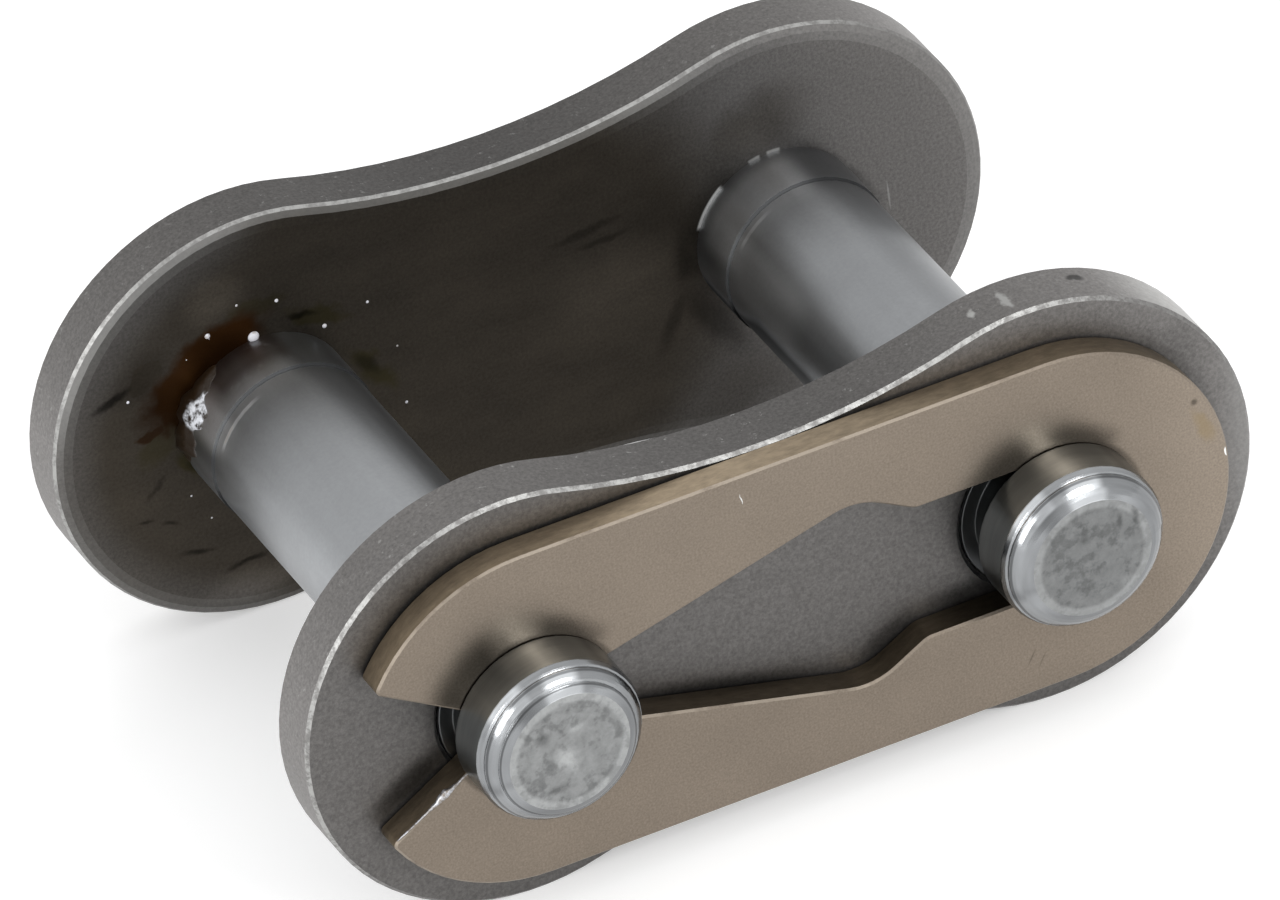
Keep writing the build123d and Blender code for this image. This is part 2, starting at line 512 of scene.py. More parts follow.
class PinWearAndLight(NamedTuple):
    """How one pin is marked, and where light and shade are painted on it; turns are in degrees
    about its axis, and tones change brightness.
    """

    axis: float
    line: float                     # station of the bright line near the root
    line_turns: tuple
    line_tone: float
    end_tone: float                 # of the dented flat end
    dark_span: tuple                # stations between which the underside darkens
    dark_tone: float
    shoulder: float                 # of the groove's side that catches the light
    rings: tuple                    # radii of the fine rings turned in the nose
    dents: tuple
    wet: bool                       # its root is wet with oil
    reflections_painted: bool                   # its barrel carries painted reflections


PIN_WEAR_AND_LIGHT = {
    "left_pin": PinWearAndLight(
        axis=LEFT_AXIS, line=4.8, line_turns=(124.0, 150.0), line_tone=1.0, end_tone=1.1,
        dark_span=(1.7, 4.1), dark_tone=0.52, shoulder=0.35, rings=(1.855, 1.625),
        dents=LEFT_DENTS, wet=True, reflections_painted=False,
    ),
    "right_pin": PinWearAndLight(
        axis=RIGHT_AXIS, line=4.88, line_turns=(126.0, 140.0), line_tone=0.55, end_tone=0.84,
        dark_span=(-0.7, 1.6), dark_tone=0.88, shoulder=0.2, rings=(1.855,),
        dents=RIGHT_DENTS, wet=False, reflections_painted=True,
    ),
}


# ---------------------------------------------------------------- plates, pins and clip


class LINK_OT_plates(bpy.types.Operator):
    """Give both plates their dark, tumbled steel with rubbed rims and old oil, and painted light
    and shade
    """

    bl_idname = "link.plates"
    bl_label = "Finish Plates"

    def execute(self, context):
        sizes = context.scene.link_plates
        for node, finish in (("back_plate", self.back), ("cover_plate", self.cover)):
            dress(node, finish(Finish(node + "_steel"), sizes))
        return {"FINISHED"}

    def ground(self, f, sizes):
        """Tumbled steel with rubbed rims: its colour, roughness, grain, walls and chips."""
        grain = f.noise(13.0, detail=2.0, roughness=0.65)
        cloud = f.noise(0.6, detail=4.0, roughness=0.6, seed=3.0)
        chipped = f.noise(5.5, detail=3.0, roughness=0.7, seed=8.0)
        beads = f.noise(4.5, detail=3.0, roughness=0.75, seed=1.0)
        wall = f.walls()

        # Painted light: the walls are painted paler towards the ends of the link, most of all the
        # right one, where the light falls on them.
        ends = 0.7 + 0.0056 * f.x * f.x + 0.045 * f.x.most(0.0)
        tone = (0.42 + 1.0 * grain + 0.16 * cloud) * (1 + wall * (ends - 1))
        base = f.scaled(sizes.steel, tone)

        # A beaded bright line runs along the broken rim on the clip side, and a faint one behind.
        broken = abs(f.facing_y).band(0.52, 0.8, 0.12)
        kept = f.z.rise(0.6, 3.2) * (1 - 0.6 * f.x.rise(7.5, 9.5))
        line = f.forward() * kept * (0.26 + 0.62 * beads.rise(0.36, 0.62))
        wear = broken * line.most(0.3 * chipped)
        fleck = wall * chipped.rise(0.62, 0.74) * 0.45
        base = f.mix(base, sizes.worn_and_lit, wear.most(fleck))
        rough = sizes.gloss + 0.1 * cloud - 0.08 * wear
        return base, rough, grain, wall, chipped

    def back(self, f, sizes):
        """The back plate: rolled rim, old oil with painted shade, stain, smears, painted shadows
        and marks round the pins.
        """
        base, rough, grain, wall, chipped = self.ground(f, sizes)
        # Painted shade: the walls darker towards the top.
        base = f.scaled(base, 1 - 0.14 * wall * f.z.rise(6.0, 8.0))
        inner = f.y.rise(BACK_INSIDE + 0.4, BACK_INSIDE) * f.front()
        left, _ = f.from_axis(LEFT_AXIS)
        right, turn = f.from_axis(RIGHT_AXIS)
        smeared = f.noise(0.8, detail=5.0, roughness=0.65, stretch=(2.2, 1.0, 1.0), seed=11.0)

        # Rubbed wear and painted highlight on the rolled rim.
        base = f.mix(base, sizes.worn_and_lit, self.rolled(f, chipped))
        # Old oil and painted shade over the inner face, with its right lobe painted paler where
        # lit.
        base = self.oiled_and_shaded(f, sizes, base, inner, grain, smeared, left, right)
        shade = right.rise(2.9, 2.1) * turn.band(128.0, 185.0, 15.0)
        base = f.scaled(base, 1 - 0.35 * inner * shade)

        torn = f.wandering(1.5, 0.9, seed=5.0)
        stain = f.marks(BACK_INSIDE, BROWN_STAIN, torn, 0.4)
        amber = (0.4 + 0.9 * smeared) * (1 - 0.3 * f.x.rise(-7.7, -8.5))
        base = f.mix(base, f.scaled(sizes.stain, amber), inner * stain)
        olive = f.marks(BACK_INSIDE, OLIVE_STAIN, torn, 0.6)
        moss = f.scaled(sizes.olive, 0.35 + 0.9 * smeared)
        base = f.mix(base, moss, inner * olive * (1 - stain))
        # Smears and painted shadows darken the inner face.
        dark = f.marks(BACK_INSIDE, SMEARS_AND_SHADOWS, f.wandering(2.2, 0.3, seed=7.0))
        base = f.scaled(base, 1 - inner * dark)

        scratch = f.spot((9.1, BACK_INSIDE, 4.95), (0.5, 0.5, 0.03), 92.0, 0.5)
        # Painted glints on the squeezed-up metal round the right pin, and a scratch.
        pressed_glints = self.pressed_glints(right, turn)
        base = f.mix(base, sizes.worn_and_lit, inner * pressed_glints.most(scratch * 0.3))
        base = f.scaled(base, 1 + 0.9 * inner * pressed_glints)
        rivets = (1 - inner) * left.rise(2.5, 2.05).most(right.rise(2.5, 2.05))
        base = f.scaled(base, 1 - 0.4 * rivets)
        return f.done(base, rough - 0.12 * inner * stain, grain, 0.004)

    def rolled(self, f, chipped):
        """How bright the rolled rim is: a little rubbed all along, and painted highlight at the
        left foot and along the crest.
        """
        rolled = f.facing_y.band(-0.9985, -0.55, 0.001)
        foot = f.x.rise(-5.0, -8.0) * f.z.rise(5.0, 2.5)
        crest = f.z.rise(5.5, 7.5) * f.x.rise(6.0, 3.0)
        crest = crest * (0.12 + 0.35 * f.facing_y.band(-0.97, -0.9, 0.01))
        return rolled * (0.05 + 0.15 * chipped + 0.14 * foot + crest)

    def oiled_and_shaded(self, f, sizes, base, inner, grain, smeared, left, right):
        """Old oil over the inner face, partly painted shade: dark over the middle and the left and
        in pools, lighter towards the left rim, with paler patches and a right lobe painted paler
        where it is lit.
        """
        ragged = f.wandering(0.9, 0.7, seed=2.0)
        oil_and_shade_film = f.spot((-3.2, BACK_INSIDE, 4.6), (10.6, 3.0, 8.2), 12.0, 0.32, ragged)
        pool = f.marks(BACK_INSIDE, OIL_AND_SHADE_POOLS, ragged)
        rubbed = f.marks(BACK_INSIDE, PALER_PATCHES, ragged)
        near_rim = f.x.rise(-5.5, -7.5) * left.rise(3.8, 4.8)
        lobe = f.x.rise(5.0, 8.0) * right.rise(3.6, 5.0)
        film_tone = (0.2 + 0.75 * grain + 0.95 * smeared) * (1 + 0.15 * f.x.rise(-8.0, -10.5))
        covered = oil_and_shade_film.most(pool) * 0.93 * (1 - 0.4 * near_rim)
        base = f.mix(base, f.scaled(sizes.oil, film_tone), inner * covered)
        return f.scaled(base, 1 + inner * (0.1 * lobe + rubbed - 0.22 * pool - 0.07))

    def pressed_glints(self, distance, turn):
        """Glints painted on bright metal squeezed up against the right pin's collar in three short
        arcs.
        """
        arcs = turn.band(131.0, 158.0, 4.0)
        for start, end in ((85.0, 92.0), (99.0, 105.0)):
            arcs = arcs.most(0.5 * turn.band(start, end, 2.0))
        return arcs * distance.rise(PIN_BASE_RADIUS + 0.1, PIN_BASE_RADIUS + 0.05)

    def cover(self, f, sizes):
        """The cover plate: dirt and painted contact shadow round the clip, chips, a pit and a right
        end that is worn and painted paler where lit.
        """
        base, rough, grain, wall, chipped = self.ground(f, sizes)
        outer = f.front()
        # Grime and painted contact shadow round the clip darken the face.
        base = f.scaled(base, (1 - 0.6 * outer * self.grime_and_shadow(f)) * (1 - 0.08 * outer))
        # Painted light: the walls lighter between x -7 and -1.
        base = f.scaled(base, 1 + 0.22 * wall * f.x.band(-7.0, -1.0, 3.0))
        # Painted light: the face paler at its upper right and at its right end, where it is lit.
        lit_face = (f.x.rise(2.0, 4.0) * f.z.rise(8.0, 9.0)).most(f.x.rise(9.8, 10.8))
        base = f.scaled(base, 1 + 0.25 * outer * lit_face)

        chips = f.marks(COVER_OUTSIDE + 0.7, RIM_CHIPS, f.wandering(4.0, 0.25, seed=4.0), 0.3)
        pale = wall * f.x.rise(8.2, 10.2) * f.z.rise(4.5, 6.5) * (0.2 + 0.9 * chipped)
        # Chips and worn pale walls at the right end, and the face's right edge painted paler as
        # lit.
        base = f.mix(base, sizes.worn_and_lit, chips.most(pale).most(outer * 0.3 * f.x.rise(10.6, 11.5)))
        base = f.scaled(base, 1 + 0.35 * pale)
        pit = f.spot(
            (8.0, COVER_OUTSIDE + 0.9, 9.95), (0.28, 0.17, 0.4), 0.0, 0.4, f.wandering(3.0, 0.2)
        )
        base = f.scaled(base, 1 - 0.7 * pit)
        # The face darker round each pin's hole, most round the right pin.
        for axis_x, darkening in ((LEFT_AXIS, 0.15), (RIGHT_AXIS, 0.35)):
            distance, _ = f.from_axis(axis_x)
            base = f.scaled(base, 1 - darkening * distance.rise(2.4, 2.12))
        return f.done(base, rough, grain, 0.004)

    def grime_and_shadow(self, f):
        """Grime that has settled along the clip's edge, except at its mouth, and in its slot, with
        painted contact shadow in the same places.
        """
        gap = f.from_clip()
        along = (0.25 + 0.45 * f.z.rise(2.0, 6.0)) * (1 - 0.7 * f.x.rise(1.0, 4.0))
        edge = gap.rise(0.4, 0.0) * gap.rise(-0.3, 0.0) * along
        mouth = f.x.rise(-8.6, -9.4) * abs(f.z - AXIS_HEIGHT).rise(2.3, 1.7)
        return (edge * (1 - mouth)).most(f.marks(COVER_OUTSIDE, SLOT_GRIME_AND_SHADOW))


class LINK_OT_pins(bpy.types.Operator):
    """Give both pins their ground barrels, dark heads, noses of high polish and dented ends, with
    painted light and shade
    """

    bl_idname = "link.pins"
    bl_label = "Finish Pins"

    def execute(self, context):
        for node, wear in PIN_WEAR_AND_LIGHT.items():
            dress(node, self.pin(Finish(node + "_steel"), context.scene, wear))
        return {"FINISHED"}

    def pin(self, f, scene, wear):
        """One pin, from its riveted end along the barrel to the head, the nose and the flat end."""
        sizes = scene.link_pins
        distance, turn = f.from_axis(wear.axis)
        grain = f.noise(11.0, detail=2.0, roughness=0.6)
        drawn = f.noise(2.2, detail=4.0, roughness=0.7, stretch=(1.0, 14.0, 1.0), seed=wear.axis)
        cloud = f.noise(1.3, detail=4.0, roughness=0.6, seed=wear.axis + 4.0)
        turned = f.noise(3.0, detail=3.0, roughness=0.7, stretch=(9.0, 1.0, 9.0), seed=1.0)
        mottle = f.noise(3.4, detail=5.0, roughness=0.72, seed=wear.axis + 9.0)
        pits = f.noise(3.0, detail=3.0, roughness=0.6, seed=wear.axis + 2.0)
        base = f.scaled(sizes.steel, 0.74 + 0.16 * grain + 0.2 * drawn + 0.14 * cloud)

        # The barrel: the collar's step painted dark, a bright line painted as a highlight, painted
        # light and shade at the root, and painted shade on the underside and the upper right.
        clear_of_plate = f.y.rise(BACK_INSIDE + 0.4, BACK_INSIDE)
        barrel = f.y.rise(COVER_OUTSIDE, COVER_OUTSIDE + 1.0) * clear_of_plate
        root = f.y.rise(BACK_INSIDE - 2.2, BACK_INSIDE - 1.2) * clear_of_plate
        step = f.y.band(COLLAR_END - 0.06, COLLAR_END, 0.02)
        base = f.scaled(base, 1 - 0.8 * step)
        line = f.y.band(wear.line - 0.03, wear.line + 0.03, 0.05)
        line = line * turn.band(*wear.line_turns, 12.0)
        base = f.scaled(base, 1 + wear.line_tone * line)
        lit = turn.band(95.0, 155.0, 20.0) * f.y.rise(BACK_INSIDE, BACK_INSIDE - 0.6)
        # Painted shade: the root is darkened everywhere but on its left side and underside.
        dull = (0.25 + 0.2 * cloud) * turn.rise(182.0, 166.0)
        base = f.scaled(base, 1 + root * (0.9 * lit - dull))
        low = turn + 13 * f.y.rise(5.0, 3.5)
        under = low.rise(188.0, 202.0) * turn.rise(262.0, 225.0)
        under = under * f.y.rise(*wear.dark_span) * wear.dark_tone
        base = f.scaled(base, 1 - barrel * (under + 0.18 * turn.band(20.0, 68.0, 20.0)))
        # Painted reflections on the right pin's barrel.
        if wear.reflections_painted:
            base = self.painted_reflections(f, base, turn, barrel)

        head = f.y.rise(COVER_OUTSIDE + 0.05, COVER_OUTSIDE - 0.05)
        base = self.head(f, sizes, base, turn, turned, head, wear)
        nose = f.y.rise(NOSE_START + 0.02, NOSE_START - 0.04)
        base = self.nose(f, sizes, base, distance, turn, turned, nose, wear)
        flat = f.facing_y.rise(-0.975, -0.99) * f.y.rise(FLAT_END + 0.1, FLAT_END + 0.05)
        base = self.flat_end(f, sizes, base, distance, flat, mottle, pits, wear)
        riveted = f.y.rise(RIVET_END - 0.3, RIVET_END - 0.2)
        base = f.scaled(base, 1 - riveted * (0.15 + 0.3 * distance.rise(1.1, 1.75) + 0.3 * pits))
        if wear.wet:
            base = self.wet(f, scene.link_plates, base, turn, barrel, root)

        rough = sizes.gloss + 0.1 * drawn - 0.13 * nose + 0.22 * flat - 0.08 * head + 0.3 * step
        rough = rough + 0.25 * barrel * under + 0.16 * riveted
        dented = flat * (mottle * 2.0 + pits * 1.5)
        height = 0.35 * drawn + dented + (1 - flat) * nose * turned * 0.8
        return f.done(base, rough, height, 0.006, soften=0.04)

    def painted_reflections(self, f, base, turn, barrel):
        """Painted reflections: a pale streak on the barrel's left, a dark one on its right and a
        darker outer half.
        """
        pale = turn.band(150.0, 172.0, 14.0) * f.y.band(2.5, 4.8, 1.2)
        base = f.scaled(base, 1 + 0.5 * pale)
        base = f.scaled(base, 1 - 0.25 * turn.band(35.0, 60.0, 18.0) * f.y.band(3.2, 4.4, 0.8))
        return f.scaled(base, 1 - barrel * 0.1 * f.y.rise(3.0, 1.0))

    def head(self, f, sizes, base, turn, turned, head, wear):
        """The dark head, painted lighter in three places where lit, and painted shade in the groove
        behind it.
        """
        # Painted light: three patches of the head painted lighter where the light falls.
        rubbed = 1 + 0.7 * turn.band(138.0, 180.0, 14.0) + 0.8 * turn.band(62.0, 90.0, 10.0)
        rubbed = rubbed + 1.0 * turn.band(99.0, 124.0, 12.0)
        base = f.mix(base, f.scaled(sizes.head, (0.6 + 0.6 * turned) * rubbed), head)
        # Painted shade in the groove, less on the shoulder that catches the light.
        groove = f.y.band(CLIP_OUTSIDE + 0.02, COVER_OUTSIDE + 0.05, 0.03)
        shoulder = wear.shoulder * f.y.rise(COVER_OUTSIDE - 0.06, COVER_OUTSIDE - 0.02)
        return f.scaled(base, 1 - (0.9 - shoulder) * groove)

    def nose(self, f, sizes, base, distance, turn, turned, nose, wear):
        """The nose, of high polish: an outer, a middle and an inner slope, parted by fine dark
        rings, with painted highlights and shade.
        """
        outer, inner = distance.rise(1.86, 1.92), distance.rise(1.72, 1.66)
        # Painted highlights and shade on the nose, set by turn about the axis.
        painted_highlights = 1 + 0.3 * turn.band(142.0, 185.0, 14.0) + 0.2 * turn.band(85.0, 110.0, 14.0)
        painted_highlights = painted_highlights - 0.3 * (1 - turn.band(60.0, 205.0, 40.0))
        painted_highlights = painted_highlights + outer * 1.3 * turn.band(120.0, 140.0, 8.0)
        dip = 0.4 * turn.band(112.0, 190.0, 10.0) - 0.7 * turn.band(76.0, 100.0, 8.0)
        painted_highlights = painted_highlights - inner * dip
        bright = 1.2 * turn.band(80.0, 97.0, 8.0) + 0.6 * turn.band(118.0, 131.0, 6.0)
        middle = (1 - outer.most(inner)) * bright
        painted_highlights = painted_highlights + middle - (1 - inner) * 0.35 * turn.band(158.0, 195.0, 10.0)
        rings = [distance.band(radius - 0.01, radius + 0.01, 0.02) for radius in wear.rings]
        dark = functools.reduce(Value.most, rings)
        tone = (0.45 + 1.0 * turned) * painted_highlights * (1 - 0.55 * dark)
        return f.mix(base, f.scaled(sizes.nose, tone), nose)

    def flat_end(self, f, sizes, base, distance, flat, mottle, pits, wear):
        """The mottled flat end, with a paler ring near its rim and a few dents."""
        tone = wear.end_tone * (0.25 + 1.0 * mottle + 0.3 * pits.rise(0.36, 0.52))
        tone = tone + 0.45 * distance.band(1.32, 1.5, 0.12)
        for x, z, long, wide, way, strength in wear.dents:
            half = (long, DENT_DEPTH, wide)
            dent = f.spot((x, FLAT_END, z), half, way, 0.9, f.wandering(2.5, 0.25))
            tone = tone * (1 - 0.55 * strength * dent)
        return f.mix(base, f.scaled(sizes.end, tone), flat)

    def wet(self, f, plates, base, turn, barrel, root):
        """Brown oil on the collar, and the light that it catches."""
        oily = 0.65 * f.y.rise(5.2, 5.9) * turn.band(84.0, 128.0, 10.0)
        ragged = f.noise(1.6, detail=3.0, roughness=0.6, seed=5.0).rise(0.2, 0.45)
        base = f.mix(base, plates.stain, oily * ragged * barrel)
        glint = turn.band(144.0, 160.0, 10.0).most(0.7 * turn.rise(85.0, 70.0))
        return f.scaled(base, 1 + 0.5 * root * glint)


class LINK_OT_clip(bpy.types.Operator):
    """Give the spring clip its warm, satin, tempered steel and its dark cut walls, with painted
    light and shade on the walls and painted reflections on the face
    """

    bl_idname = "link.clip"
    bl_label = "Finish Clip"

    def execute(self, context):
        sizes = context.scene.link_clip
        f = Finish("clip_steel")
        grain = f.noise(19.0, detail=2.0, roughness=0.6)
        cloud = f.noise(0.5, detail=4.0, roughness=0.55, seed=5.0)
        wall = f.walls()
        broken = abs(f.facing_y).band(0.5, 0.85, 0.12) * f.forward()
        pale = 0.82 + 0.2 * f.x.rise(8.0, 10.5) + 0.06 * f.z.rise(3.0, 1.5)
        base = f.scaled(sizes.steel, (0.5 + 0.7 * grain + 0.2 * cloud) * pale)
        base = f.mix(base, f.scaled(sizes.wall, self.cut(f)), wall)
        base = f.mix(base, sizes.edge, broken * self.kept(f) * 0.6)
        base = self.face(f, sizes, base)
        rough = sizes.gloss + 0.1 * cloud + 0.1 * wall + 0.25 * broken
        dress("spring_clip", f.done(base, rough, grain, 0.0035))
        return {"FINISHED"}

    def cut(self, f):
        """Tone of the torn walls with painted light and shade: paler above, more so to the left,
        and at the open end's lip, and darker at the foot of the lower walls.
        """
        torn = f.noise(2.6, detail=3.0, roughness=0.7, stretch=(1.0, 0.35, 1.0), seed=2.0)
        upper, lower = f.z.rise(6.6, 7.4), f.z.rise(5.2, 4.8)
        lip = f.x.rise(-8.0, -8.6) * f.z.rise(4.6, 3.8)
        foot = f.y.rise(-6.55, -6.3)
        along = 0.7 + 0.8 * f.x.rise(3.0, -3.0)
        tone = (0.55 + 1.1 * torn) * (1 + along * upper + 1.1 * lip)
        tone = tone * (1 - (0.35 * lip).most(0.15 * f.x.rise(-6.0, -5.0)) * lower * foot)
        return tone * (1 - 0.1 * f.x.rise(0.5, 2.5) * lower)

    def kept(self, f):
        """Where the broken edges are still rubbed bright: least at the closed end."""
        closed = 0.85 * f.x.rise(4.0, 7.5)
        lower_leg = 0.7 * f.x.rise(1.0, 3.0) * f.z.rise(5.2, 4.8)
        return f.noise(1.7, detail=3.0, seed=6.0).rise(0.3, 0.55) * (1 - closed.most(lower_leg))

    def face(self, f, sizes, base):
        """The face: a smear, painted reflections of both heads with a painted contact shadow round
        each, scratches and nicks.
        """
        front = f.front()
        smear = f.marks(CLIP_OUTSIDE, CLIP_SMEAR, f.wandering(2.0, 0.5))
        base = f.mix(base, sizes.smear, front * smear * 0.6)
        dark = f.marks(CLIP_OUTSIDE, CLIP_SCRATCHES)
        # Painted reflections of each head, dark up to its left and right, and a painted contact
        # shadow round it.
        for axis_x, lean in ((LEFT_AXIS, 0.0), (RIGHT_AXIS, 8.0)):
            distance, turn = f.from_axis(axis_x)
            left = distance.rise(3.1, 2.3) * turn.band(120.0 - lean, 148.0 - lean, 14.0)
            right = distance.rise(2.65, 2.15) * turn.band(46.0 + lean, 76.0 + lean, 14.0)
            painted_reflections = (0.55 * left).most(0.42 * right)
            dark = dark.most(painted_reflections).most(0.45 * distance.rise(2.16, 2.03))
        base = f.scaled(base, 1 - front * dark)
        nicks = f.marks(CLIP_OUTSIDE, CLIP_NICKS, f.wandering(5.0, 0.12))
        return f.mix(base, sizes.nick, front * nicks.rise(0.3, 0.6))


# ---------------------------------------------------------------- burr and grease


def loft(name, rings):
    """A closed piece through rings of points in millimetres, capped at both ends."""
    form = bmesh.new()
    rows = [[form.verts.new(Vector(point) * MM) for point in ring] for ring in rings]
    for near, far in zip(rows, rows[1:]):
        for here in range(len(near)):
            beside = (here + 1) % len(near)
            form.faces.new((near[here], near[beside], far[beside], far[here]))
    form.faces.new(rows[0])
    form.faces.new(rows[-1])
    bmesh.ops.recalc_face_normals(form, faces=form.faces)
    mesh = bpy.data.meshes.new(name)
    form.to_mesh(mesh)
    form.free()
    mesh.shade_smooth()
    return add_object(name, mesh)


class LINK_OT_burr(bpy.types.Operator):
    """Raise the bright sliver left along the lower side of the clip's open end"""

    bl_idname = "link.burr"
    bl_label = "Raise Burr"

    def execute(self, context):
        sizes = context.scene.link_burr
        burr = loft("clip_burr", self.sections(sizes))
        f = Finish("burr_steel")
        torn = f.noise(9.0, detail=3.0, roughness=0.7)
        base = f.mix(sizes.dull, sizes.steel, torn.rise(0.35, 0.6))
        burr.data.materials.append(f.done(base, 0.3 + 0.2 * torn, torn, 0.01))
        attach(burr, "clip")
        return {"FINISHED"}

    def sections(self, sizes):
        """Rings of four points along a thin, ragged sliver that swells to a flake."""
        root, tip = Vector((-8.05, 0.0, 4.36)), Vector((-9.93, 0.0, 3.24))
        flake_at, flake_spread, least_half = 0.36, 0.15, 0.004
        steps = 28
        along = (tip - root).normalized()
        inward = Vector((along.z, 0.0, -along.x))
        face = Vector((0.0, CLIP_OUTSIDE, 0.0))
        rings = []
        for step in range(steps + 1):
            share = step / steps
            flake = math.exp(-(((share - flake_at) / flake_spread) ** 2))
            ragged = 1 + 0.25 * math.sin(23 * share) + 0.15 * math.sin(61 * share + 1)
            taper = min(1.0, 12 * share, 12 * (1 - share))
            half = sizes.width / MM / 2 * (0.16 + 0.84 * flake) * ragged * taper
            half = max(half, least_half)
            fade = min(1.0, 8 * share + 0.1, 8 * (1 - share) + 0.1)
            lift = sizes.height / MM * (0.35 + 0.65 * flake) * fade
            middle = root + (tip - root) * share + inward * (half * 0.35)
            rings.append((
                middle + face + inward * half + Vector((0.0, 0.01, 0.0)),
                middle + face + inward * (half * 0.3) - Vector((0.0, lift * 0.7, 0.0)),
                middle + face - inward * (half * 0.6) - Vector((0.0, lift, 0.0)),
                middle + face - inward * half + Vector((0.0, 0.03, 0.0)),
            ))
        return rings


# Placed drops: x, z and radius in mm.
DROPS = (
    (-6.45, 7.24, 0.135), (-7.53, 7.68, 0.065), (-4.75, 6.86, 0.055), (-5.81, 7.96, 0.045),
    (-3.67, 7.08, 0.035), (-6.76, 8.2, 0.03), (-3.02, 4.11, 0.035), (-9.58, 6.71, 0.035),
)
DROP_SIZE = "drop_size"


